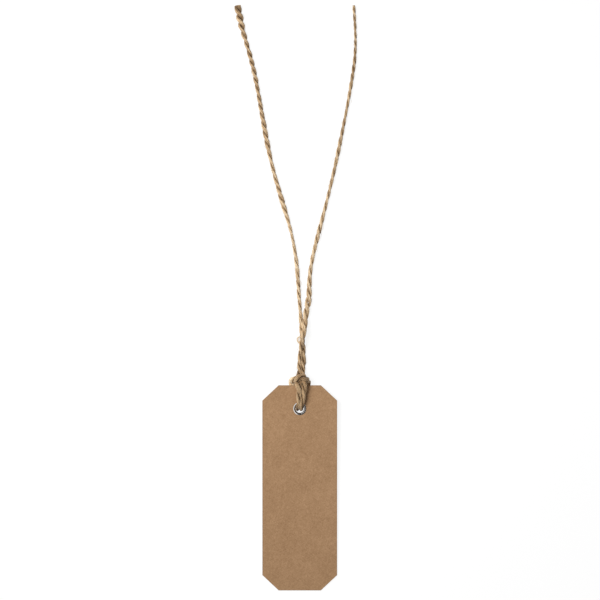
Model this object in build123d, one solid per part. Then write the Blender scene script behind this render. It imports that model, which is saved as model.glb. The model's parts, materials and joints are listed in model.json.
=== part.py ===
from build123d import *
import math
import os

# Card: a die-cut kraft tag with its four corners clipped
card_width = 40.0
card_length = 110.0
card_thickness = 0.6
clip_across = 8.7
clip_along = 8.2
eyelet_setback = 12.5

# Twine: one length of jute, doubled through the eyelet
twine_diameter = 2.0
twine_room = 0.15
pair_gap = 0.2
strand_ride = 0.2

# Eyelet: thin sheet metal rolled out over both faces of the card
eyelet_sheet = 0.25
front_roll_width = 1.35
front_crest_height = 0.5
back_roll_width = 1.2
back_crest_height = 0.4
hole_clearance = 0.1

# Hitch: places beyond the card's top edge, and how far its strands spread and lean
collar_rise = 4.5
collar_end_half = 2.5
collar_lean = 0.6
shoulder_rise = 3.6
shoulder_half = 4.6
shoulder_height = 0.4
foot_room = 0.6
foot_half = 4.8
head_rise = 0.9
head_spread = 0.15
head_lean = 0.7
ramp_reach = 8.4
exit_reach = 11.6
exit_spread = 0.1
exit_lean = 1.0

# Crossing: the right strand climbs over the left one
crossing_gap = 0.35

# Largest share of the shorter run that an arc of the twine takes up
arc_share = 0.45

# Free strands: sideways and forward from each one's exit, and the layer it lies in
right_strand_route = [
    (0.0, 3.4, 0),
    (0.8, 10.0, 1),
    (1.9, 19.7, 1),
    (3.3, 27.7, 0),
    (4.9, 37.6, 0),
    (5.9, 50.7, 0),
    (8.3, 62.3, 0),
    (20.3, 111.0, 0),
    (29.5, 162.2, 0),
    (30.0, 177.3, 0),
    (28.9, 192.2, 0),
]
left_strand_route = [
    (0.0, 4.4, 0),
    (-1.4, 19.1, 0),
    (-1.8, 27.7, 0),
    (-4.5, 56.6, 0),
    (-7.1, 71.1, 0),
    (-17.9, 109.4, 0),
    (-26.5, 155.3, 0),
    (-30.7, 170.3, 0),
    (-33.7, 182.1, 0),
    (-35.7, 192.2, 0),
]

# Sizes that follow from those above
face_height = card_thickness / 2
twine_radius = twine_diameter / 2
strand_half = twine_radius + pair_gap / 2
bore_radius = math.hypot(strand_half, strand_ride) + twine_radius + twine_room
barrel_radius = bore_radius + eyelet_sheet
hole_radius = barrel_radius + hole_clearance
front_level = face_height + front_crest_height + twine_radius + twine_room
back_level = -(face_height + back_crest_height + twine_radius + twine_room)
head_half = strand_half + head_spread
exit_half = strand_half + exit_spread
foot_rise = twine_radius + foot_room
layer_step = twine_diameter + crossing_gap

# The tag lies face up with its plain end on the surface, propped by the twine that lies behind its top end
plain_end_reach = card_length - eyelet_setback
prop_reach = plain_end_reach + strand_ride
prop_depth = -back_level - face_height
tilt = math.atan2(prop_depth, prop_reach) + math.asin(twine_radius / math.hypot(prop_reach, prop_depth))
eyelet_place = Vector(
    0,
    (card_length / 2 - eyelet_setback) * math.cos(tilt),
    plain_end_reach * math.sin(tilt) + face_height * math.cos(tilt),
)
tag_plane = Plane(
    origin=eyelet_place,
    x_dir=(1, 0, 0),
    z_dir=(0, -math.sin(tilt), math.cos(tilt)),
)
top_edge = tag_plane.from_local_coords(Vector(0, eyelet_setback, 0)).Y


def tag_card():
    """The card: a rectangle with its corners clipped, punched for the eyelet."""
    half_width, half_length = card_width / 2, card_length / 2
    corners = []
    for across, along in ((1, 1), (-1, 1), (-1, -1), (1, -1)):
        clip = [
            (across * half_width, along * (half_length - clip_along)),
            (across * (half_width - clip_across), along * half_length),
        ]
        corners += clip if across == along else clip[::-1]
    outline = Pos(0, eyelet_setback - half_length) * Polygon(*corners, align=None)
    outline -= Circle(hole_radius)
    return tag_plane * extrude(Plane.XY.offset(-face_height) * outline, card_thickness)


def rolled_flange(side, roll_width, crest_height):
    """Section lines of one flange: its domed skin, and its underside from the edge on the card to the barrel."""
    roll_half = roll_width / 2
    inner_half = roll_half - eyelet_sheet
    middle = Vector(bore_radius + roll_half, side * face_height)
    inner_edge, outer_edge = middle - Vector(roll_half, 0), middle + Vector(roll_half, 0)
    crest = middle + Vector(0, side * crest_height)
    hollow = middle + Vector(0, side * (crest_height - eyelet_sheet))
    return [
        ThreePointArc(inner_edge, crest, outer_edge),
        Polyline(outer_edge, middle + Vector(inner_half, 0), hollow, middle - Vector(inner_half, 0)),
    ]


def eyelet():
    """The eyelet: a barrel with a flange rolled over the front and a smaller one over the back."""
    front = rolled_flange(1, front_roll_width, front_crest_height)
    back = rolled_flange(-1, back_roll_width, back_crest_height)
    bore_wall = Line((bore_radius, face_height), (bore_radius, -face_height))
    barrel_wall = Line((barrel_radius, face_height), (barrel_radius, -face_height))
    section = Plane.XZ * make_face(front + back + [bore_wall, barrel_wall])
    return tag_plane * revolve(section, Axis.Z)


def twine_tube(name, points):
    """A round tube along straight runs that are joined by the largest arcs they leave room for."""
    radii = []
    for before, corner, after in zip(points, points[1:], points[2:]):
        run_in, run_out = corner - before, after - corner
        half_turn = math.radians(run_in.get_angle(run_out)) / 2
        radii.append(arc_share * min(run_in.length, run_out.length) / math.tan(half_turn))
    path = FilletPolyline(*points, radius=radii)
    tube = sweep(Plane(origin=path @ 0, z_dir=path % 0) * Circle(twine_radius), path=path)
    full_volume = math.pi * twine_radius**2 * path.length
    print(name, "length", round(path.length, 1), "tightest radius", round(min(radii), 2))
    print(name, "radii", [round(radius, 1) for radius in radii])
    print(name, "volume over section times length", round(tube.volume / full_volume, 4))
    return tube


def strand_exit(side):
    """Where a standing strand leaves the hitch, lying on the surface."""
    return Vector(exit_lean + side * exit_half, top_edge + exit_reach, twine_radius)


def hitch_side(side):
    """One half of the lark's head, from the strand's exit round through the eyelet to the collar."""
    way_out = strand_exit(side)
    ramp_foot = Vector(way_out.X, top_edge + ramp_reach, twine_radius)
    ramp_head = tag_plane.from_local_coords(
        Vector(head_lean + side * head_half, eyelet_setback + head_rise, front_level)
    )
    bore_front = tag_plane.from_local_coords(Vector(side * strand_half, strand_ride, front_level))
    bore_back = tag_plane.from_local_coords(Vector(side * strand_half, strand_ride, back_level))
    foot = Vector(side * foot_half, top_edge + foot_rise, twine_radius)
    shoulder = tag_plane.from_local_coords(
        Vector(side * shoulder_half, eyelet_setback + shoulder_rise, shoulder_height)
    )
    ramp = ramp_foot - ramp_head
    slope = math.atan2(-ramp.Z, ramp.Y)
    under_collar = ramp_head.Z - (collar_rise - head_rise) * math.tan(slope)
    collar_height = under_collar + (twine_diameter + twine_room) / math.cos(slope)
    collar_end = Vector(collar_lean + side * collar_end_half, top_edge + collar_rise, collar_height)
    return [way_out, ramp_foot, ramp_head, bore_front, bore_back, foot, shoulder, collar_end]


def twine_hitch():
    """The lark's head: both strands through the bore, and a collar drawn up over them."""
    return twine_tube("hitch", hitch_side(-1) + hitch_side(1)[::-1])


def free_strand(name, side, route):
    """A strand on the surface from its exit to its cut end."""
    start = strand_exit(side)
    points = [start]
    for across, forward, layer in route:
        points.append(start + Vector(across, forward, layer * layer_step))
    return twine_tube(name, points)


pieces = {
    "tag_card": tag_card(),
    "eyelet": eyelet(),
    "twine_hitch": twine_hitch(),
    "twine_left_strand": free_strand("left strand", 1, left_strand_route),
    "twine_right_strand": free_strand("right strand", -1, right_strand_route),
}

os.makedirs("parts", exist_ok=True)
for node, shape in pieces.items():
    export_step(shape, f"parts/{node}.step")

print("tilt in degrees", round(math.degrees(tilt), 4))
print("eyelet place", [round(value, 4) for value in eyelet_place])
print("eyelet bore", round(2 * bore_radius, 3))
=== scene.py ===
import json
import math
import random

import bpy
import numpy as np
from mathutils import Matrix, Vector, noise


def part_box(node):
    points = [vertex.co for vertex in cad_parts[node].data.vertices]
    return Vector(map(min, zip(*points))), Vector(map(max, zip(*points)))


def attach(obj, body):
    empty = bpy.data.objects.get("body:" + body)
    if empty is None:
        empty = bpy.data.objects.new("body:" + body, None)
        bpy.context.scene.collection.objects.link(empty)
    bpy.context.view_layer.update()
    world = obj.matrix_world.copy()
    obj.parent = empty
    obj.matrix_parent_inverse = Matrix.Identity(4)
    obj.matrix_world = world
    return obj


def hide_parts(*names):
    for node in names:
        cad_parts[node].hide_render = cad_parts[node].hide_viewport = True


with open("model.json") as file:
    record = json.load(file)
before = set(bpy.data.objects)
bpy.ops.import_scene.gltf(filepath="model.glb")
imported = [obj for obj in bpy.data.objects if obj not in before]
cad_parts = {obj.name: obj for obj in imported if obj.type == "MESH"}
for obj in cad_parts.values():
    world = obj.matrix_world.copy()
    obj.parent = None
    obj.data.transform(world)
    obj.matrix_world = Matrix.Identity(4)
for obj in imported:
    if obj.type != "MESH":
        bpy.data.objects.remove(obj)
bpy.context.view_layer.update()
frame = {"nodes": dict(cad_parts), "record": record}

mm = 0.001

# Places taken from the frame
card_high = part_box("tag_card")[1]
eyelet_low, eyelet_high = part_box("eyelet")
top_edge = card_high.y / mm
eyelet_middle = (eyelet_low + eyelet_high) / 2
eyelet_reach = (eyelet_high.x - eyelet_low.x) / 2
hinge = frame["record"]["behaviour"]["joints"][0]
hinge_place, hinge_axis = hinge["pos_m"], hinge["axis"]
swing = math.radians(hinge["range_deg"][1])
edge_reach = card_high.y - hinge_place[1]

# The card's thickness, and the band about its middle in which fibres are kept off its swinging edge
card_thickness = 0.6 * mm
edge_band = 1.5 * mm
edge_band_fade = 0.7 * mm

# Twine: counts, shares, and sizes in millimetres before a stretch's fullness is applied
ply_offset = 0.49
ply_thickness = 0.34
ply_width = 0.58
core_share = 0.95
bundles_in_ply = 11
bundle_radius = 0.17
bundle_pitch = 15.0
fibres_in_ply = 6
fibre_stand_off = 1.35
fibre_radius = 0.055
fibre_pitch = 23.0
ring_spacing = 0.42
least_height = 0.3

# How much rounder plies stand out, thicken, narrow and vary in tone, which is painted light and shade:
# paler facing out, darker facing the groove
round_offset = 0.03
round_thickness = 0.08
round_width = 0.12
round_painted_light_shade = 0.12

# Corners of the sections of the core, the bundles and the loose fibres
core_corners = 10
bundle_corners = 5
fibre_corners = 3

# Tones, from 0 for dark fibres to 1 for pale ones, and changes of tone; the core's darkening is painted
# shade, and the bundles' and fibres' painted light and shade make them paler facing out of the ply and
# darker facing into it
middle_tone = 0.5
core_painted_shade = 0.4
bundle_darker = 0.08
bundle_tones = (-0.18, 0.18)
bundle_painted_light_shade = 0.22
fibre_tones = (0.0, 0.35)
fibre_painted_light_shade = 0.15
hair_tones = (0.55, 0.85)
loop_tone = 0.8

# How far short of the twine's ends its core stops, and between which lengths its bundles and fibres do
core_trim = (0.1, 0.1)
bundle_trims = (0, 0.2)
fibre_trims = (0, 0.3)

# How thick a bundle is at its very end, and over how far it narrows
tip_share = 0.75
tip_reach = 0.2

# The left strand's end, which is splayed, and the right strand's, which is pale: how much, and over how far
splayed_end = (0.55, 1.6)
pale_end = (0.25, 2.5)

# How far the plies are turned where the right strand leaves the hitch, in radians
exit_turn = 2.2727

# How far beyond the hitch the free strands become fully uneven
uneven_reach = 6

# Random changes along the twine: how much, a key that sets each apart, and over about how far
slow_swell = (0.06, 1, 7.0)
quick_swell = (0.06, 2, 2.6)
tone_drift = (0.08, 3, 26.0)
twist_drift = (0.6, 4, 22.0)
slow_slack = (0.8, 5, 15.0)
quick_slack = (0.35, 6, 6.0)
# The last change here varies how strong the bundles' painted light and shade are
painted_light_shade_drift = (0.6, 7, 9.0)

# Keys for the two plies, and for the first bundle and fibre in each
core_keys = (0, 5)
ply_offset_keys = (10, 11)
ply_tone_keys = (20, 21)
bundle_keys = (30, 70)
fibre_keys = (130, 170)

# Keys for the first hair and the first fibre of the loop
hair_key = 300
loop_key = 400

# What a bundle's or a fibre's key is raised by for its looseness, its radius and its tone
loose_key = 0.3
radius_key = 0.6
tone_key = 0.8

# Where noise is taken: how far apart two keys' rows are, and at what level
noise_step = 7.31
noise_level = 0.37

# How far apart the grain of two tubes is, in two directions
grain_steps = (2.7, 1.9)

# Stray hairs: how many each piece has, and how they start, run, bend and thin out
hairs = {"right_strand": 70, "hitch": 45, "left_strand": 80}
hair_rows = 7
hair_margin = 3
hair_start = 0.85
hair_lengths = (1.0, 3.6)
hair_lifts = (0.15, 0.5)
hair_bends = (-0.15, 0.15)
hair_droop = 0.05
hair_radii = (0.08, 0.03)
hair_grain = 3

# The fibres of the small loop: each one's share of the loop's width, and its radius
loop_fibres = [(1.0, 0.19), (0.82, 0.14), (0.6, 0.12), (0.4, 0.12)]

# The hitch's route: sideways, forward of the card's top edge, and height
left_exit = (-0.1, 11.6, 1.0)
right_exit = (2.05, 11.6, 1.0)
hitch_route = [
    left_exit,
    (-0.2, 8.4, 1.0),
    (-0.45, 5.6, 2.6),
    (-0.65, 1.0, 5.8),
    (-0.3, -3.5, 5.4),
    (-0.4, -8.0, 5.1),
    (-1.1, -12.75, 4.8),
    (-1.05, -12.7, 1.0),
    (-2.08, -8.0, 1.0),
    (-3.95, -1.59, 1.0),
    (-4.1, 1.5, 1.0),
    (-3.95, 2.6, 2.3),
    (-3.15, 2.9, 4.8),
    (-1.0, 4.3, 6.4),
    (1.5, 4.6, 6.5),
    (2.7, 3.7, 6.3),
    (3.8, 3.0, 4.6),
    (4.3, 2.7, 2.4),
    (4.6, 1.4, 1.0),
    (4.0, -1.59, 1.0),
    (2.08, -8.0, 1.0),
    (0.75, -12.7, 1.0),
    (0.6, -12.75, 4.8),
    (1.6, -8.0, 5.1),
    (2.55, -3.5, 5.4),
    (2.5, 1.0, 5.8),
    (1.75, 5.6, 2.6),
    (1.75, 8.4, 1.0),
    right_exit,
]

# The free strands' routes: sideways and forward from each one's exit, and height
right_strand_route = [
    (0.0, 0.0, 1.0),
    (0.1, 2.9, 1.0),
    (0.8, 7.9, 1.8),
    (1.1, 11.9, 3.9),
    (2.4, 16.9, 3.9),
    (2.95, 21.9, 1.8),
    (3.6, 27.7, 1.0),
    (5.1, 35.0, 1.0),
    (5.2, 42.0, 1.0),
    (5.75, 50.7, 1.0),
    (8.15, 62.3, 1.0),
    (12.8, 79.7, 1.0),
    (18.0, 100.6, 1.0),
    (22.4, 121.5, 1.0),
    (26.75, 144.0, 1.0),
    (29.7, 162.2, 1.0),
    (30.1, 177.3, 1.0),
    (29.0, 192.35, 1.0),
]
left_strand_route = [
    (0.0, 0.0, 1.0),
    (0.05, 2.9, 1.0),
    (-0.1, 6.9, 1.0),
    (-0.5, 10.9, 1.0),
    (-1.0, 15.4, 1.0),
    (-1.1, 19.4, 1.0),
    (-1.75, 28.4, 1.0),
    (-2.4, 35.2, 1.0),
    (-3.0, 45.4, 1.0),
    (-4.0, 56.6, 1.0),
    (-6.6, 71.1, 1.0),
    (-11.95, 88.3, 1.0),
    (-17.9, 109.4, 1.0),
    (-22.5, 134.4, 1.0),
    (-26.1, 155.3, 1.0),
    (-30.2, 170.3, 1.0),
    (-33.75, 182.1, 1.0),
    (-35.5, 192.35, 1.0),
]

# A small loop of fibre that stands out of the right strand, in the same way
fibre_loop_route = [
    (0.5, 10.2, 3.2),
    (-0.6, 11.0, 3.1),
    (-1.45, 12.3, 3.1),
    (-1.3, 13.9, 3.1),
    (-0.2, 14.6, 3.3),
    (1.0, 14.2, 3.5),
]

# How full the twine is: distance from a strand's exit, or from the left one along the hitch, and a multiple
hitch_fullness = [
    (0, 1.25),
    (4, 1.1),
    (6, 1.2),
    (8.5, 1.8),
    (12, 1.95),
    (15, 1.6),
    (18, 1.35),
    (22, 1.15),
    (26, 1.12),
    (31, 1.1),
    (39, 1.2),
    (41, 1.75),
    (43, 2.3),
    (45, 1.95),
    (47, 1.5),
    (51, 1.5),
    (56, 1.4),
    (62, 1.35),
    (70, 1.1),
    (76, 1.12),
    (80, 1.15),
    (84, 1.35),
    (88, 1.55),
    (91, 1.85),
    (93.5, 1.75),
    (96, 1.2),
    (98, 1.1),
    (102, 1.25),
]
right_fullness = [
    (0, 1.25),
    (6, 1.15),
    (12, 1.3),
    (20, 1.35),
    (30, 1.6),
    (36, 1.55),
    (43, 1.32),
    (50, 1.08),
    (58, 1.0),
    (67, 1.1),
    (76, 1.15),
    (85, 0.9),
    (93, 0.8),
    (102, 0.95),
    (111, 1.0),
    (120, 1.1),
    (129, 0.9),
    (137, 0.72),
    (146, 0.9),
    (155, 1.0),
    (164, 0.95),
    (172, 0.75),
    (181, 0.7),
    (190, 0.8),
]
left_fullness = [
    (0, 1.25),
    (6, 1.15),
    (12, 1.3),
    (20, 1.2),
    (28, 1.0),
    (32, 0.92),
    (40, 1.1),
    (49, 1.2),
    (58, 1.0),
    (67, 0.75),
    (76, 0.95),
    (85, 1.4),
    (93, 1.3),
    (102, 1.0),
    (111, 1.0),
    (120, 1.35),
    (129, 1.4),
    (137, 1.25),
    (146, 1.05),
    (155, 1.2),
    (164, 1.25),
    (172, 1.1),
    (181, 1.4),
    (190, 1.85),
]

# How far it runs for one turn of its plies, in the same way
right_pitch = [(0, 11.8), (110, 11.8), (150, 9.2), (194, 9.2)]
hitch_pitch = [
    (9, 9.6),
    (11, 14.1),
    (24, 14.1),
    (26, 9.6),
    (76, 9.6),
    (78, 14.1),
    (91, 14.1),
    (93, 9.6),
]
left_pitch = [(0, 11.8), (110, 11.8), (150, 9.6), (194, 9.6)]

# How round its plies are, in the same way: 0 for flat ones, 1 for plies with deep waists between them
right_roundness = [(0, 0.3), (20, 0.2), (60, 0.1), (150, 0.3), (194, 0.5)]
hitch_roundness = [(0, 0.3), (102, 0.3)]
left_roundness = [(0, 0.3), (40, 0.1), (130, 0.2), (160, 0.7), (194, 1.0)]

# How light its fibres are, in the same way; along the hitch this paints a highlight on the left lobe and
# shade on the front legs where they pass under the collar, and darkens the collar's middle
hitch_tone_and_painted_light = [
    (0, -0.08),
    (4, -0.25),
    (10, -0.4),
    (13, -0.1),
    (21, -0.04),
    (26, -0.2),
    (37, 0.45),
    (44, 0.66),
    (47, 0.2),
    (50, -0.32),
    (53, -0.28),
    (56, 0.2),
    (62, -0.1),
    (76, -0.15),
    (81, -0.04),
    (89, -0.1),
    (92, -0.4),
    (98, -0.25),
    (102, -0.08),
]
right_tone = [(0, -0.08), (14, 0.0), (26, 0.16), (60, 0.12), (120, 0.03), (160, -0.1), (194, -0.13)]
left_tone = [(0, -0.08), (14, -0.05), (26, 0.14), (70, 0.1), (120, 0.02), (160, -0.08), (194, -0.13)]


# Node maths


class Link:
    """An output of a node tree, which Python's operators join to others through Math nodes."""

    def __init__(self, tree, socket=None):
        self.tree = tree
        self.socket = socket

    def node(self, kind, settings=None, inputs=None, output=0):
        """Adds a node, sets it up, fills its inputs, and gives the output that is asked for."""
        made = self.tree.nodes.new(kind)
        for name, value in (settings or {}).items():
            if name == "stops":
                ramp = made.color_ramp
                while len(ramp.elements) < len(value):
                    ramp.elements.new(0.5)
                for element, (position, colour) in zip(ramp.elements, value):
                    element.position = position
                    element.color = (*colour, 1)
            else:
                setattr(made, name, value)
        for name, value in (inputs or {}).items():
            if isinstance(value, Link):
                self.tree.links.new(value.socket, made.inputs[name])
            else:
                made.inputs[name].default_value = value
        if not made.outputs:
            return None
        return Link(self.tree, made.outputs[output])

    def math(self, operation, *values):
        return self.node("ShaderNodeMath", {"operation": operation}, dict(enumerate(values)))

    def __add__(self, other):
        return self.math("ADD", self, other)

    def __radd__(self, other):
        return self.math("ADD", other, self)

    def __sub__(self, other):
        return self.math("SUBTRACT", self, other)

    def __rsub__(self, other):
        return self.math("SUBTRACT", other, self)

    def __mul__(self, other):
        return self.math("MULTIPLY", self, other)

    def __rmul__(self, other):
        return self.math("MULTIPLY", other, self)

    def __abs__(self):
        return self.math("ABSOLUTE", self)

    def least(self, other):
        return self.math("MINIMUM", self, other)

    def most(self, other):
        return self.math("MAXIMUM", self, other)

    def swayed(self, amount):
        """A change by up to half an amount either way, from noise that runs from 0 to 1."""
        return amount * (self - 0.5)

    def between(self, low, high):
        """Rises smoothly from 0 at low to 1 at high."""
        inputs = {"Value": self, "From Min": low, "From Max": high}
        return self.node("ShaderNodeMapRange", {"interpolation_type": "SMOOTHSTEP"}, inputs)

    def stretched(self, scale):
        """These coordinates times a scale in each direction."""
        return self.node("ShaderNodeVectorMath", {"operation": "MULTIPLY"}, {0: self, 1: scale})

    def turned(self, degrees):
        """These coordinates, turned about the upright axis."""
        inputs = {"Vector": self, "Angle": math.radians(degrees)}
        return self.node("ShaderNodeVectorRotate", {"rotation_type": "Z_AXIS"}, inputs)

    def noise(self, scale, detail, roughness=0.55):
        inputs = {"Vector": self, "Scale": scale, "Detail": detail, "Roughness": roughness}
        return self.node("ShaderNodeTexNoise", {}, inputs)

    def fibres(self, degrees, across, along, detail):
        """Noise that is drawn out in one direction, with its fineness across and along it."""
        return self.turned(degrees).stretched((across, along, across)).noise(1.0, detail)

    def ramp(self, *stops):
        return self.node("ShaderNodeValToRGB", {"stops": stops}, {"Fac": self})

    def tint(self, colour, amount):
        """This colour, mixed with another by an amount."""
        return self.node("ShaderNodeMix", {"data_type": "RGBA"}, {0: amount, 6: self, 7: colour}, 2)

    def relief(self, strength, depth):
        """A normal that this height tilts."""
        inputs = {"Strength": strength, "Distance": depth, "Height": self}
        return self.node("ShaderNodeBump", {}, inputs, "Normal")


def new_finish(name):
    """An empty material, and a link to start its nodes from."""
    material = bpy.data.materials.new(name)
    material.use_nodes = True
    material.node_tree.nodes.clear()
    return material, Link(material.node_tree)


def finish_with(start, shader):
    """Ends a material's nodes in the shader that its surface has."""
    start.node("ShaderNodeOutputMaterial", {}, {"Surface": shader})


# Materials


def kraft_card():
    """Uncoated kraft board: brown pulp with pale and dark fibres, a darker rim and a paler cut edge."""
    material, start = new_finish("kraft_card")
    place = start.node("ShaderNodeTexCoord", {}, {}, "Object")
    facing = start.node("ShaderNodeTexCoord", {}, {}, "Normal")
    x = start.node("ShaderNodeSeparateXYZ", {}, {0: place}, "X")
    y = start.node("ShaderNodeSeparateXYZ", {}, {0: place}, "Y")
    upward = start.node("ShaderNodeSeparateXYZ", {}, {0: facing}, "Z")

    cloud = place.noise(scale=90.0, detail=3.0)
    grain = place.noise(scale=1500.0, detail=4.0, roughness=0.65)
    long_fibres = place.fibres(degrees=14, across=2300.0, along=300.0, detail=3.0)
    slant_fibres = place.fibres(degrees=62, across=2100.0, along=340.0, detail=3.0)
    cross_fibres = place.fibres(degrees=-49, across=2200.0, along=320.0, detail=3.0)
    flecks = place.fibres(degrees=28, across=1100.0, along=520.0, detail=2.0).between(0.66, 0.76)
    pale_flecks = place.fibres(degrees=-73, across=1250.0, along=480.0, detail=2.0).between(0.66, 0.78)

    tone = 0.5 + cloud.swayed(0.34) + grain.swayed(0.65)
    tone = tone + long_fibres.swayed(0.5) + slant_fibres.swayed(0.5) + cross_fibres.swayed(0.5)
    dark_pulp = (0.290, 0.164, 0.082)
    brown_pulp = (0.390, 0.233, 0.124)
    light_pulp = (0.500, 0.309, 0.174)
    pulp = tone.ramp((0.15, dark_pulp), (0.5, brown_pulp), (0.85, light_pulp))
    dark_fibre = (0.235, 0.128, 0.066, 1)
    pale_fibre = (0.520, 0.345, 0.215, 1)
    pulp = pulp.tint(dark_fibre, flecks * 0.45)
    pulp = pulp.tint(pale_fibre, pale_flecks * 0.35)

    half_width = card_high.x
    half_length = card_high.y
    inward = (half_width - abs(x)).least(half_length - abs(y))
    rim = 1 - inward.between(0.1 * mm, 0.7 * mm)
    dark_rim = (0.310, 0.178, 0.094, 1)
    pulp = pulp.tint(dark_rim, rim * 0.35)

    layers = place.stretched((220.0, 220.0, 9000.0)).noise(scale=1.0, detail=2.0)
    cut_side = 1 - abs(upward).between(0.3, 0.8)
    dark_layer = (0.330, 0.200, 0.112)
    pale_layer = (0.500, 0.335, 0.205)
    edge = layers.ramp((0.3, dark_layer), (0.7, pale_layer))
    colour = pulp.tint(edge, cut_side)

    fibres = 0.3 * long_fibres + 0.3 * slant_fibres + 0.3 * cross_fibres
    height = 0.5 * grain + fibres + 0.4 * layers * cut_side
    inputs = {
        "Base Color": colour,
        "Roughness": 0.78 + 0.2 * grain,
        "Normal": height.relief(strength=0.35, depth=0.05 * mm),
        "Specular IOR Level": 0.25,
    }
    finish_with(start, start.node("ShaderNodeBsdfPrincipled", {}, inputs))
    return material


def eyelet_metal():
    """Bright nickel plate, burnished on the crest of its flange, rougher down in the bore, where painted
    shade makes it near black.
    """
    material, start = new_finish("eyelet_metal")
    place = start.node("ShaderNodeTexCoord", {}, {}, "Object")
    middle = tuple(eyelet_middle)
    spoke = start.node("ShaderNodeVectorMath", {"operation": "SUBTRACT"}, {0: place, 1: middle})
    reach = start.node("ShaderNodeVectorMath", {"operation": "LENGTH"}, {0: spoke}, "Value")
    throat_radius = 2.35 * mm
    lip_radius = 2.6 * mm
    # 1 on the crest, smoother and bright; 0 in the throat, rougher and darkened by painted shade
    polish_beyond_painted_shade = reach.between(throat_radius, lip_radius)
    scuffs = place.stretched((900.0, 900.0, 2500.0)).noise(scale=1.0, detail=5.0, roughness=0.6)
    bloom = place.noise(scale=420.0, detail=2.0)

    grey_plate = (0.74, 0.72, 0.70)
    bright_plate = (0.92, 0.90, 0.88)
    plate = bloom.ramp((0.35, grey_plate), (0.65, bright_plate))
    # Painted shade: the throat is painted near black for the shade and dark reflections down in the bore
    black_painted_shade = (0.03, 0.026, 0.022)
    grey_painted_shade = (0.08, 0.07, 0.06)
    painted_throat_shade = scuffs.ramp((0.3, black_painted_shade), (0.7, grey_painted_shade))
    inputs = {
        "Base Color": painted_throat_shade.tint(plate, polish_beyond_painted_shade),
        "Metallic": 1.0,
        "Roughness": 0.30 - 0.14 * polish_beyond_painted_shade + scuffs.swayed(0.12),
        "Normal": scuffs.relief(strength=0.15, depth=0.02 * mm),
    }
    finish_with(start, start.node("ShaderNodeBsdfPrincipled", {}, inputs))
    return material


def jute():
    """Natural jute: straw and brown fibres, each streaked along its length, coloured from a tone that also
    holds painted light and shade.
    """
    material, start = new_finish("jute")
    tone = start.node("ShaderNodeAttribute", {"attribute_name": "tone"}, {}, "Fac")
    lay = start.node("ShaderNodeAttribute", {"attribute_name": "lay"}, {}, "Vector")
    streaks = lay.stretched((0.35, 3.2, 3.2)).noise(scale=1.0, detail=4.0, roughness=0.6)
    patches = lay.stretched((0.22, 0.5, 0.5)).noise(scale=1.0, detail=2.0)
    shade = tone + streaks.swayed(0.5) + patches.swayed(0.4)
    dark_brown = (0.145, 0.080, 0.034)
    brown = (0.370, 0.235, 0.122)
    straw = (0.620, 0.440, 0.255)
    pale_straw = (0.880, 0.710, 0.490)
    colour = shade.ramp((0.05, dark_brown), (0.35, brown), (0.65, straw), (0.95, pale_straw))
    inputs = {
        "Base Color": colour,
        "Roughness": 0.55 + 0.25 * streaks,
        "Normal": streaks.relief(strength=0.4, depth=0.04 * mm),
        "Specular IOR Level": 0.35,
        "Sheen Weight": 0.15,
    }
    finish_with(start, start.node("ShaderNodeBsdfPrincipled", {}, inputs))
    return material


# Twine


def on_surface(start, route):
    """A route's points in metres, from the place that it starts at."""
    return [Vector(((start[0] + x) * mm, (top_edge + start[1] + y) * mm, z * mm)) for x, y, z in route]


def smooth_line(name, points):
    """Places along the smooth line that the twine takes through its route's points."""
    curve = bpy.data.curves.new(name, "CURVE")
    curve.dimensions = "3D"
    curve.resolution_u = 160
    spline = curve.splines.new("NURBS")
    spline.points.add(len(points) - 1)
    for control, point in zip(spline.points, points):
        control.co = (*point, 1)
    spline.order_u = 3
    spline.use_endpoint_u = True
    holder = bpy.data.objects.new(name, curve)
    mesh = bpy.data.meshes.new_from_object(holder)
    places = [vertex.co.copy() for vertex in mesh.vertices]
    bpy.data.objects.remove(holder)
    bpy.data.curves.remove(curve)
    bpy.data.meshes.remove(mesh)
    line = places[:1]
    for place in places:
        if (place - line[-1]).length >= ring_spacing * mm:
            line.append(place)
    line[-1] = places[-1]
    return line


def square_to(line):
    """Two directions square to a line at each of its places, carried along it without a twist."""
    sides, ups = [], []
    side = Vector((0, 0, 1))
    for number in range(len(line)):
        ahead = line[min(number + 1, len(line) - 1)] - line[max(number - 1, 0)]
        ahead.normalize()
        side = side - ahead * side.dot(ahead)
        side.normalize()
        sides.append(side.copy())
        ups.append(ahead.cross(side))
    return np.array(sides), np.array(ups)


def pressed(height):
    """Heights over a face that fibres lie on, with those under it eased back to just above it."""
    low = least_height * mm
    return np.where(height < low, low * np.exp((np.minimum(height, low) - low) / low), height)


def above_card(places):
    """How far places are above the card's middle."""
    return (np.array(places) - np.array(hinge_place)) @ np.array(hinge_axis)


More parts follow.
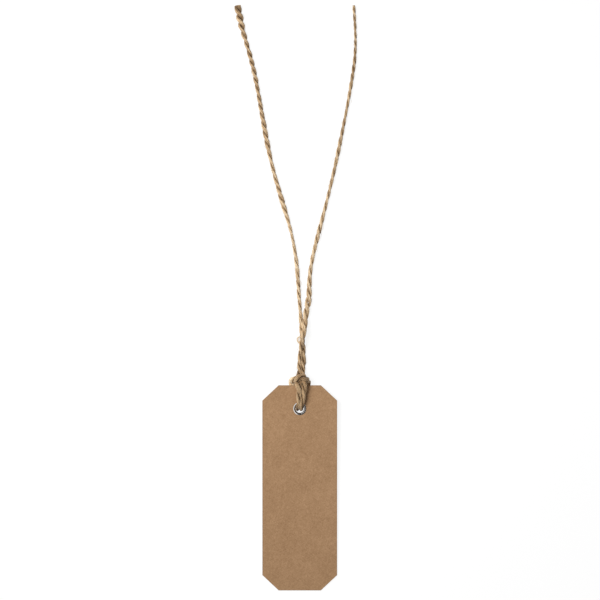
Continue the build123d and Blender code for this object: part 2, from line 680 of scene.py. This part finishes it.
class Strands:
    """Vertices, faces and marks of one piece of twine, gathered tube by tube."""

    def __init__(self):
        self.places, self.faces, self.tones, self.lays = [], [], [], []
        self.count = 0

    def tube(self, centres, first, second, corners, tones, along, key):
        """A closed tube round a line of places, with the two half widths of its section at each."""
        angles = np.arange(corners) * 2 * math.pi / corners
        cosines, sines = np.cos(angles), np.sin(angles)
        section = cosines[None, :, None] * first[:, None, :] + sines[None, :, None] * second[:, None, :]
        rows = len(centres)
        numbers = self.count + np.arange(rows * corners).reshape(rows, corners)
        ahead = np.roll(numbers, -1, axis=1)
        quads = np.stack([numbers[:-1], ahead[:-1], ahead[1:], numbers[1:]], axis=-1)
        self.faces += quads.reshape(-1, 4).tolist()
        self.faces += [numbers[0, ::-1].tolist(), numbers[-1].tolist()]
        self.places.append((centres[:, None, :] + section).reshape(-1, 3))
        self.tones.append(np.repeat(tones, corners))
        lay = np.empty((rows, corners, 3))
        lay[:, :, 0] = along[:, None]
        lay[:, :, 1] = cosines[None, :] + grain_steps[0] * key
        lay[:, :, 2] = sines[None, :] + grain_steps[1] * key
        self.lays.append(lay.reshape(-1, 3))
        self.count += rows * corners

    def settled(self):
        """All places, pressed flat where they lie, and kept off the card's edge as it swings."""
        places = np.concatenate(self.places)
        places[:, 2] = pressed(places[:, 2])
        height = above_card(places)
        by_eyelet = np.linalg.norm(places[:, :2] - np.array(hinge_place[:2]), axis=1) < eyelet_reach
        ahead = places[:, 1] > card_high.y
        on_card = ~ahead & ~by_eyelet & (height > 0)
        under_card = ~ahead & ~by_eyelet & (height < 0)
        face = card_thickness / 2
        places[on_card, 2] += (pressed(height - face) + face - height)[on_card]
        places[under_card, 2] -= (pressed(-height - face) + face + height)[under_card]
        swept = hinge_place[1] + edge_reach / math.cos(swing) + np.abs(places[:, 0]) * math.tan(swing)
        level = np.clip((edge_band - np.abs(height)) / edge_band_fade, 0, 1)
        kept_off = swept + pressed(places[:, 1] - swept)
        places[ahead, 1] += (level * (kept_off - places[:, 1]))[ahead]
        return places

    def piece(self, name, material):
        """The object made of all tubes, with each place's tone and lay."""
        mesh = bpy.data.meshes.new(name)
        mesh.from_pydata(self.settled().tolist(), [], self.faces)
        tones = np.concatenate(self.tones)
        mesh.attributes.new("tone", "FLOAT", "POINT").data.foreach_set("value", tones)
        lays = np.concatenate(self.lays).ravel()
        mesh.attributes.new("lay", "FLOAT_VECTOR", "POINT").data.foreach_set("vector", lays)
        mesh.shade_smooth()
        mesh.materials.append(material)
        made = bpy.data.objects.new(name, mesh)
        bpy.context.scene.collection.objects.link(made)
        return made


class Twine:
    """One two-ply twine from end to end, parted at the hitch's exits into three pieces."""

    def __init__(self):
        self.right_line = smooth_line("right_line", on_surface(left_exit, right_strand_route))
        hitch_line = smooth_line("hitch_line", on_surface((0, 0), hitch_route))
        self.left_line = smooth_line("left_line", on_surface(right_exit, left_strand_route))
        self.line = self.right_line[::-1] + hitch_line[1:] + self.left_line[1:]
        first_exit = len(self.right_line) - 1
        second_exit = first_exit + len(hitch_line) - 1
        self.spans = {
            "right_strand": (0, first_exit),
            "hitch": (first_exit, second_exit),
            "left_strand": (second_exit, len(self.line) - 1),
        }
        self.gathered = {name: Strands() for name in self.spans}
        self.chance = random.Random(4)

        self.centres = np.array(self.line)
        self.sides, self.ups = square_to(self.line)
        steps = np.linalg.norm(np.diff(self.centres, axis=0), axis=1) / mm
        self.along = np.concatenate([[0], np.cumsum(steps)])
        self.length = self.along[-1]
        self.from_first = self.along - self.along[first_exit]
        self.from_second = self.along - self.along[second_exit]
        self.uneven = np.clip(np.maximum(-self.from_first, self.from_second) / uneven_reach, 0, 1)

        self.full = self.varied(right_fullness, hitch_fullness, left_fullness)
        self.full = self.full * (1 + self.drift(*slow_swell) + self.drift(*quick_swell))
        self.roundness = self.varied(right_roundness, hitch_roundness, left_roundness)
        amount, reach = splayed_end
        self.opened = 1 + amount * np.exp((self.along - self.length) / reach)
        amount, reach = pale_end
        # Along the hitch, the tone holds a painted highlight and painted shade
        self.tone = middle_tone + self.varied(right_tone, hitch_tone_and_painted_light, left_tone)
        self.tone = self.tone + amount * np.exp(-self.along / reach) + self.drift(*tone_drift)
        # Painted light and shade: bundles facing out of the ply are painted paler, those facing the groove
        # darker, more on rounder plies
        self.ply_painted_light_shade = bundle_painted_light_shade + round_painted_light_shade * self.roundness
        self.ply_painted_light_shade = self.ply_painted_light_shade * (1 + self.uneven * self.drift(*painted_light_shade_drift))

        pitch = self.varied(right_pitch, hitch_pitch, left_pitch)
        turns = np.concatenate([[0], np.cumsum(steps / pitch[1:])])
        self.twist = exit_turn - 2 * math.pi * (turns - turns[first_exit]) + self.drift(*twist_drift)
        self.twist = self.twist + self.uneven * (self.drift(*slow_slack) + self.drift(*quick_slack))

    def varied(self, in_right, in_hitch, in_left):
        """A value along the whole twine, from the lists for its three stretches."""
        value = np.interp(-self.from_first, *zip(*in_right))
        value = np.where(self.from_first > 0, np.interp(self.from_first, *zip(*in_hitch)), value)
        return np.where(self.from_second > 0, np.interp(self.from_second, *zip(*in_left)), value)

    def drift(self, amount, key, period):
        """A smooth random change along the twine, by up to about an amount, different for each key."""
        row = noise_step * key
        values = [noise.noise(Vector((at / period, row, noise_level))) for at in self.along]
        return amount * np.array(values)

    def lay_in(self, middles, first, second, corners, tones, key, trim):
        """Adds one continuous bundle of fibres to the pieces that it runs through."""
        tip = np.minimum(self.along - trim[0], self.length - trim[1] - self.along)
        narrowed = np.interp(tip, (0, tip_reach), (tip_share, 1))[:, None]
        for name, (begin, end) in self.spans.items():
            rows = np.arange(begin, end + 1)
            rows = rows[tip[rows] >= 0]
            self.gathered[name].tube(
                middles[rows],
                (first * narrowed)[rows],
                (second * narrowed)[rows],
                corners,
                tones[rows],
                self.along[rows],
                key,
            )

    def lay_ply(self, ply):
        """One of the two plies: a core darkened by painted shade, bundles wound round it, and loose fibres
        round those, painted paler facing out and darker facing in.
        """
        turn = self.twist + math.pi * ply
        cosine, sine = np.cos(turn)[:, None], np.sin(turn)[:, None]
        out = mm * (cosine * self.sides + sine * self.ups)
        across = mm * (cosine * self.ups - sine * self.sides)
        offset = (ply_offset + round_offset * self.roundness) * self.full
        swerve = 0.08 + 0.1 * self.uneven
        offset = offset * (1 + self.drift(amount=swerve, key=ply_offset_keys[ply], period=5.0))
        thickness = (ply_thickness + round_thickness * self.roundness) * self.full
        width = (ply_width - round_width * self.roundness) * self.full * self.opened
        shading = 0.12 + 0.08 * self.uneven
        ply_tone = self.tone + self.drift(amount=shading, key=ply_tone_keys[ply], period=7.0)

        middles = self.centres + offset[:, None] * out
        core_out = (core_share * thickness)[:, None] * out
        core_across = (core_share * width)[:, None] * across
        # Painted shade: the core is painted darker than its ply
        shaded_core_tone = ply_tone - core_painted_shade
        self.lay_in(middles, core_out, core_across, core_corners, shaded_core_tone, core_keys[ply], core_trim)

        def wind(angle, loose, radius, corners, tones, key, trims):
            """Adds a tube that winds round the core, close to it or loosely."""
            outward = offset + thickness * loose * np.cos(angle)
            sideways = width * loose * np.sin(angle)
            middles = self.centres + outward[:, None] * out + sideways[:, None] * across
            first, second = radius[:, None] * out, radius[:, None] * across
            trim = (self.chance.uniform(*trims), self.chance.uniform(*trims))
            self.lay_in(middles, first, second, corners, tones, key, trim)

        for bundle in range(bundles_in_ply):
            key = bundle_keys[ply] + bundle
            angle = 2 * math.pi * (bundle / bundles_in_ply + self.along / bundle_pitch)
            angle = angle + self.drift(amount=0.4, key=key, period=8.0)
            loose = 1 + self.drift(amount=0.12, key=key + loose_key, period=6.0)
            swell = self.drift(amount=0.35, key=key + radius_key, period=5.0)
            radius = bundle_radius * self.full * (1 + swell)
            tones = ply_tone + self.chance.uniform(*bundle_tones)
            tones = tones + self.drift(amount=0.14, key=key + tone_key, period=9.0)
            # Painted light and shade by which way each bundle faces
            tones = tones - bundle_darker + self.ply_painted_light_shade * np.cos(angle)
            wind(angle, loose, radius, bundle_corners, tones, key, bundle_trims)

        for fibre in range(fibres_in_ply):
            key = fibre_keys[ply] + fibre
            angle = 2 * math.pi * (fibre / fibres_in_ply + self.along / fibre_pitch)
            angle = angle + self.drift(amount=1.2, key=key, period=10.0)
            loose = fibre_stand_off * (1 + self.drift(amount=0.12, key=key + loose_key, period=4.0))
            radius = fibre_radius * (1 + self.drift(amount=0.4, key=key + radius_key, period=6.0))
            # Painted light and shade by which way each fibre faces
            tones = ply_tone + self.chance.uniform(*fibre_tones) + fibre_painted_light_shade * np.cos(angle)
            wind(angle, loose, radius, fibre_corners, tones, key, fibre_trims)

    def lay_hair(self, name, hair):
        """A short fibre that has worked loose from one piece and bends away from it."""
        begin, end = self.spans[name]
        number = self.chance.randrange(begin + hair_margin, end - hair_margin)
        angle = self.chance.uniform(0, 2 * math.pi)
        outward = Vector(self.sides[number] * math.cos(angle) + self.ups[number] * math.sin(angle))
        ahead = self.line[number + 2] - self.line[number - 2]
        ahead = ahead.normalized() * self.chance.choice((-1, 1))
        sideways = ahead.cross(outward)
        place = self.line[number] + outward * hair_start * self.full[number] * mm
        length = self.chance.uniform(*hair_lengths) * mm
        heading = (ahead + outward * self.chance.uniform(*hair_lifts)).normalized()
        turn = sideways * self.chance.uniform(*hair_bends) - Vector((0, 0, hair_droop))
        places = []
        for row in range(hair_rows):
            places.append(place.copy())
            heading = (heading + turn).normalized()
            place = place + heading * length / (hair_rows - 1)
        over_card = place.y < card_high.y
        if over_card and above_card(places[0]) * above_card(place) < 0:
            return
        across = heading.orthogonal().normalized()
        upward = heading.cross(across)
        radii = np.linspace(*hair_radii, hair_rows)[:, None] * mm
        first, second = radii * np.array(across), radii * np.array(upward)
        tones = np.full(hair_rows, self.chance.uniform(*hair_tones))
        along = np.linspace(0, hair_grain, hair_rows)
        strands = self.gathered[name]
        strands.tube(np.array(places), first, second, fibre_corners, tones, along, hair_key + hair)

    def lay_loop(self):
        """A few fibres that stand out of the right strand together in a loop."""
        line = smooth_line("loop_line", on_surface(left_exit, fibre_loop_route))
        sides, ups = square_to(line)
        along = np.arange(len(line)) * ring_spacing
        tones = np.full(len(line), loop_tone)
        strands = self.gathered["right_strand"]
        for number, (share, radius) in enumerate(loop_fibres):
            middles = np.array(line)
            middles[:, 0] = middles[0, 0] + share * (middles[:, 0] - middles[0, 0])
            first, second = radius * mm * sides, radius * mm * ups
            strands.tube(middles, first, second, bundle_corners, tones, along, loop_key + number)

    def pieces(self, material):
        """The three pieces, with all their fibres."""
        for ply in (0, 1):
            self.lay_ply(ply)
        for name in self.spans:
            for hair in range(hairs[name]):
                self.lay_hair(name, hair)
        self.lay_loop()
        made = {}
        for name, strands in self.gathered.items():
            made[name] = strands.piece("twine_" + name + "_plies", material)
        return made


def hang_twine():
    """Puts the twine in the place of its three nodes."""
    twine = Twine()
    pieces = twine.pieces(jute())
    for name, piece in pieces.items():
        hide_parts("twine_" + name)
        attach(piece, "twine")


# Setting


def seen_directly(start):
    """1 for what the camera sees, also mirrored or through clear things, and 0 for light on things."""
    camera = start.node("ShaderNodeLightPath", {}, {}, "Is Camera Ray")
    glossy = start.node("ShaderNodeLightPath", {}, {}, "Is Glossy Ray")
    through = start.node("ShaderNodeLightPath", {}, {}, "Is Transmission Ray")
    return camera.most(glossy).most(through)


def lay_floor():
    """A white surface that the tag lies on, which keeps the tag's shadow."""
    half = 4.0
    corners = [(-half, -half, 0), (half, -half, 0), (half, half, 0), (-half, half, 0)]
    mesh = bpy.data.meshes.new("floor")
    mesh.from_pydata(corners, [], [(0, 1, 2, 3)])
    material, start = new_finish("white_surface")
    glow_share = 0.82
    diffuse = start.node("ShaderNodeBsdfDiffuse", {}, {"Color": (0.9, 0.9, 0.9, 1)})
    glow = start.node("ShaderNodeEmission", {}, {"Color": (1, 1, 1, 1), "Strength": 1.06})
    factor = glow_share * seen_directly(start)
    white = start.node("ShaderNodeMixShader", {}, {0: factor, 1: diffuse, 2: glow})
    finish_with(start, white)
    mesh.materials.append(material)
    floor = bpy.data.objects.new("floor", mesh)
    bpy.context.scene.collection.objects.link(floor)


def light_studio():
    """A soft lamp from the upper left, which reflections leave out, and an even white room."""
    fill = 0.31
    world = bpy.data.worlds.new("white_room")
    world.use_nodes = True
    world.node_tree.nodes.clear()
    start = Link(world.node_tree)
    strength = fill + (1 - fill) * seen_directly(start)
    room = start.node("ShaderNodeBackground", {}, {"Color": (1, 1, 1, 1), "Strength": strength})
    start.node("ShaderNodeOutputWorld", {}, {"Surface": room})
    bpy.context.scene.world = world

    lamp = bpy.data.lights.new("lamp", "AREA")
    lamp.shape = "DISK"
    lamp.size = 0.45
    lamp.spread = math.radians(90)
    lamp.energy = 1.42
    aimed_at = Vector((0, 0.12, 0))
    holder = bpy.data.objects.new("lamp", lamp)
    holder.location = (-0.38, 0.26, 0.60)
    aim = aimed_at - holder.location
    holder.rotation_euler = aim.to_track_quat("-Z", "Y").to_euler()
    holder.visible_glossy = False
    bpy.context.scene.collection.objects.link(holder)


def stand_dark_card():
    """A dark curved card beside and over the tag, out of the picture, which only reflections show."""
    reach = 1.2
    turns = [math.radians(degrees) for degrees in range(-110, 111, 10)]
    climbs = [math.radians(degrees) for degrees in range(5, 116, 10)]
    places = []
    for climb in climbs:
        for turn in turns:
            level = math.cos(climb)
            spoke = Vector((level * math.cos(turn), level * math.sin(turn), math.sin(climb)))
            places.append(eyelet_middle + reach * spoke)
    faces = []
    for row in range(len(climbs) - 1):
        for column in range(len(turns) - 1):
            corner = row * len(turns) + column
            faces.append((corner, corner + 1, corner + 1 + len(turns), corner + len(turns)))
    mesh = bpy.data.meshes.new("dark_card")
    mesh.from_pydata(places, [], faces)
    material, start = new_finish("dark_felt")
    dimly_lit = start.node("ShaderNodeEmission", {}, {"Color": (1, 1, 1, 1), "Strength": 0.05})
    finish_with(start, dimly_lit)
    mesh.materials.append(material)
    card = bpy.data.objects.new("dark_card", mesh)
    card.visible_camera = False
    card.visible_diffuse = False
    card.visible_shadow = False
    bpy.context.scene.collection.objects.link(card)


def set_camera():
    """Looks straight down, with the picture as wide as the photograph's."""
    distance = 1.5
    picture_width = 321.6 * mm
    picture_middle = (0.13 * mm, 100.6 * mm)
    camera = bpy.data.cameras.new("camera")
    camera.sensor_width = 36.0
    camera.lens = camera.sensor_width * distance / picture_width
    camera.clip_start = 0.01
    holder = bpy.data.objects.new("camera", camera)
    holder.location = (*picture_middle, distance)
    bpy.context.scene.collection.objects.link(holder)
    bpy.context.scene.camera = holder


def dress(node, material):
    """Gives a carried-over node its finish."""
    for slot in frame["nodes"][node].material_slots:
        slot.material = material


set_camera()
light_studio()
lay_floor()
stand_dark_card()
dress("tag_card", kraft_card())
dress("eyelet", eyelet_metal())
hang_twine()
bpy.context.scene.view_settings.view_transform = "Standard"
